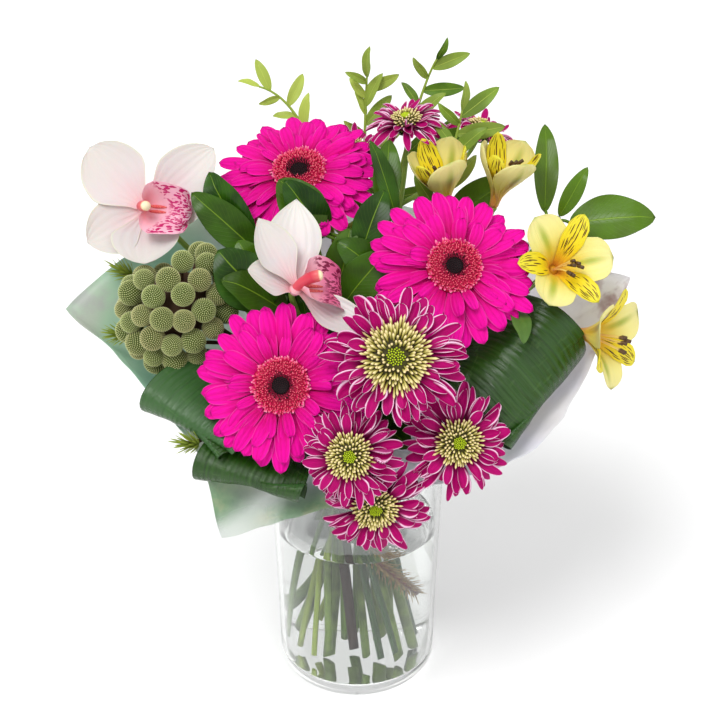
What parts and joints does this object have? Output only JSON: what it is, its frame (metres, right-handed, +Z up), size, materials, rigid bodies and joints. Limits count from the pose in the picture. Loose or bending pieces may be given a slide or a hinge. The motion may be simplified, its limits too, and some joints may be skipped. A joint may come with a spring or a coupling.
{
  "type": "flower bouquet in a vase",
  "caption": "Hand-tied bouquet of gerberas, orchids, chrysanthemums and alstroemeria with leaves and a wrapping sheet, standing in a glass vase of water.",
  "frame": {"origin": "middle of the vase's flat underside, on the surface that it stands on", "axes": "+Z up through the vase; -Y is the front of the bouquet; +X is to the right as seen from the front"},
  "size_m": [0.389, 0.2614, 0.439],
  "materials": {
    "satin_petal_magenta_pink": "satin petal, magenta pink",
    "floret_disc_dark_red": "floret disc, dark red",
    "green_stem": "green stem",
    "waxy_white_tepal": "waxy white tepal",
    "waxy_spotted_lip_magenta": "waxy spotted lip, magenta",
    "petal_purple_with_pale_edges": "petal, purple with pale edges",
    "floret_disc_cream_yellow_and_green": "floret disc, cream yellow and green",
    "matt_grey_green_seed_heads": "matt grey-green seed heads",
    "brown_twig_with_green_needles": "brown twig with green needles",
    "petal_yellow": "petal, yellow",
    "glossy_dark_green_leaf": "glossy dark green leaf",
    "green_leaf": "green leaf",
    "fresh_green_leaf": "fresh green leaf",
    "translucent_frosted_sheet": "translucent frosted sheet",
    "ribbon": "ribbon",
    "clear_glass": "clear glass",
    "clear_water": "clear water"
  },
  "bodies": {
    "root": {"gerbera_front_petals": "satin_petal_magenta_pink", "gerbera_front_disc": "floret_disc_dark_red", "gerbera_front_stem": "green_stem", "gerbera_right_petals": "satin_petal_magenta_pink", "gerbera_right_disc": "floret_disc_dark_red", "gerbera_right_stem": "green_stem", "gerbera_left_petals": "satin_petal_magenta_pink", "gerbera_left_disc": "floret_disc_dark_red", "gerbera_left_stem": "green_stem", "orchid_left_tepals": "waxy_white_tepal", "orchid_left_lip": "waxy_spotted_lip_magenta", "orchid_left_stem": "green_stem", "orchid_middle_tepals": "waxy_white_tepal", "orchid_middle_lip": "waxy_spotted_lip_magenta", "orchid_middle_stem": "green_stem", "chrysanthemum_upper_rays": "petal_purple_with_pale_edges", "chrysanthemum_upper_florets": "floret_disc_cream_yellow_and_green", "chrysanthemum_left_rays": "petal_purple_with_pale_edges", "chrysanthemum_left_florets": "floret_disc_cream_yellow_and_green", "chrysanthemum_right_rays": "petal_purple_with_pale_edges", "chrysanthemum_right_florets": "floret_disc_cream_yellow_and_green", "chrysanthemum_lower_rays": "petal_purple_with_pale_edges", "chrysanthemum_lower_florets": "floret_disc_cream_yellow_and_green", "chrysanthemum_back_a_rays": "petal_purple_with_pale_edges", "chrysanthemum_back_a_florets": "floret_disc_cream_yellow_and_green", "chrysanthemum_back_b_rays": "petal_purple_with_pale_edges", "chrysanthemum_back_b_florets": "floret_disc_cream_yellow_and_green", "chrysanthemum_back_c_rays": "petal_purple_with_pale_edges", "chrysanthemum_back_c_florets": "floret_disc_cream_yellow_and_green", "chrysanthemum_front_stem": "green_stem", "chrysanthemum_back_stem": "green_stem", "brunia_berries": "matt_grey_green_seed_heads", "brunia_stem": "brown_twig_with_green_needles", "alstroemeria_right": "petal_yellow", "alstroemeria_low": "petal_yellow", "alstroemeria_back": "petal_yellow", "alstroemeria_middle": "petal_yellow", "alstroemeria_right_stem": "green_stem", "alstroemeria_back_stem": "green_stem", "aspidistra_right": "glossy_dark_green_leaf", "aspidistra_left": "glossy_dark_green_leaf", "aspidistra_front": "glossy_dark_green_leaf", "leaves_left": "green_leaf", "leaves_middle": "green_leaf", "leaves_right": "green_leaf", "leaves_back": "green_leaf", "leaves_back_left": "green_leaf", "twig_left": "fresh_green_leaf", "twig_middle": "fresh_green_leaf", "twig_right": "fresh_green_leaf", "twig_long": "fresh_green_leaf", "wrap_sheet": "translucent_frosted_sheet", "tie": "ribbon", "vase": "clear_glass", "water": "clear_water"}
  },
  "joints": []
}
